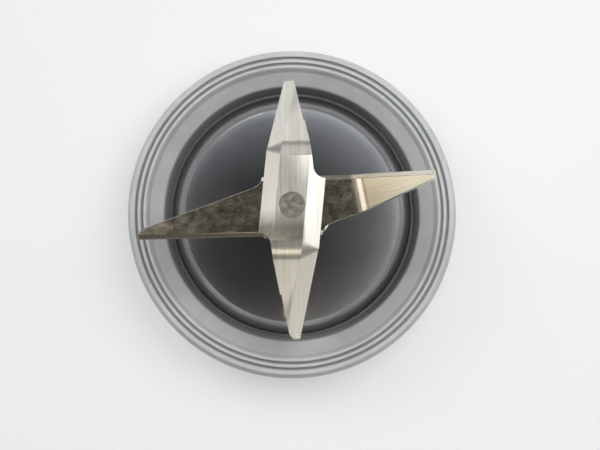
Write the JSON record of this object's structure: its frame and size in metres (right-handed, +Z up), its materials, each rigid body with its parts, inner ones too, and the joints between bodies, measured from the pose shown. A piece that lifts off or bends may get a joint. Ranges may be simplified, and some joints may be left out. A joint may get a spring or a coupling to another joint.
{
  "type": "blender blade",
  "caption": "Blender blade unit: bent steel cutting blades on a spindle in a polished domed base, with a grey ribbed seal ring round the rim and a dogged drive coupling below.",
  "frame": {"origin": "on the spindle axis, at the foot of the base's spigot", "axes": "+Z up along the spindle, out of the dome; +Y along the upper blade's arm that bends further out"},
  "size_m": [0.0786, 0.0786, 0.0471],
  "materials": {
    "carrier_plastic": "moulded plastic, fine grain",
    "dome_steel": "mirror polished stainless steel",
    "seal_rubber": "grey moulded rubber, satin",
    "housing_steel": "turned stainless steel",
    "gasket_rubber": "black rubber",
    "nut_steel": "plated steel",
    "bush_bronze": "sintered bronze, oiled",
    "felt": "oiled felt",
    "washer_plastic": "natural nylon",
    "shaft_steel": "ground stainless steel",
    "clip_steel": "spring steel",
    "insert_steel": "steel, as cut",
    "coupling_plastic": "glass-filled nylon",
    "upper_blade_steel": "stainless strip, ground along its facets",
    "lower_blade_steel": "stainless strip, rolled and scratched"
  },
  "bodies": {
    "base": {"carrier": "carrier_plastic", "dome": "dome_steel", "seal_ring": "seal_rubber", "bearing_housing": "housing_steel", "housing_gasket": "gasket_rubber", "nut_washer": "nut_steel", "housing_nut": "nut_steel", "upper_bush": "bush_bronze", "lower_bush": "bush_bronze", "oil_felt": "felt", "shaft_seal": "gasket_rubber", "upper_thrust_washer": "washer_plastic", "lower_thrust_washer": "washer_plastic"},
    "rotor": {"shaft": "shaft_steel", "retaining_clip": "clip_steel", "coupling_insert": "insert_steel", "drive_coupling": "coupling_plastic", "upper_blade": "upper_blade_steel", "lower_blade": "lower_blade_steel"}
  },
  "joints": [
    {"name": "blade_spin", "type": "hinge", "parent": "base", "child": "rotor", "pos_m": [0, 0, 0], "axis": [0, 0, 1], "continuous": true}
  ]
}
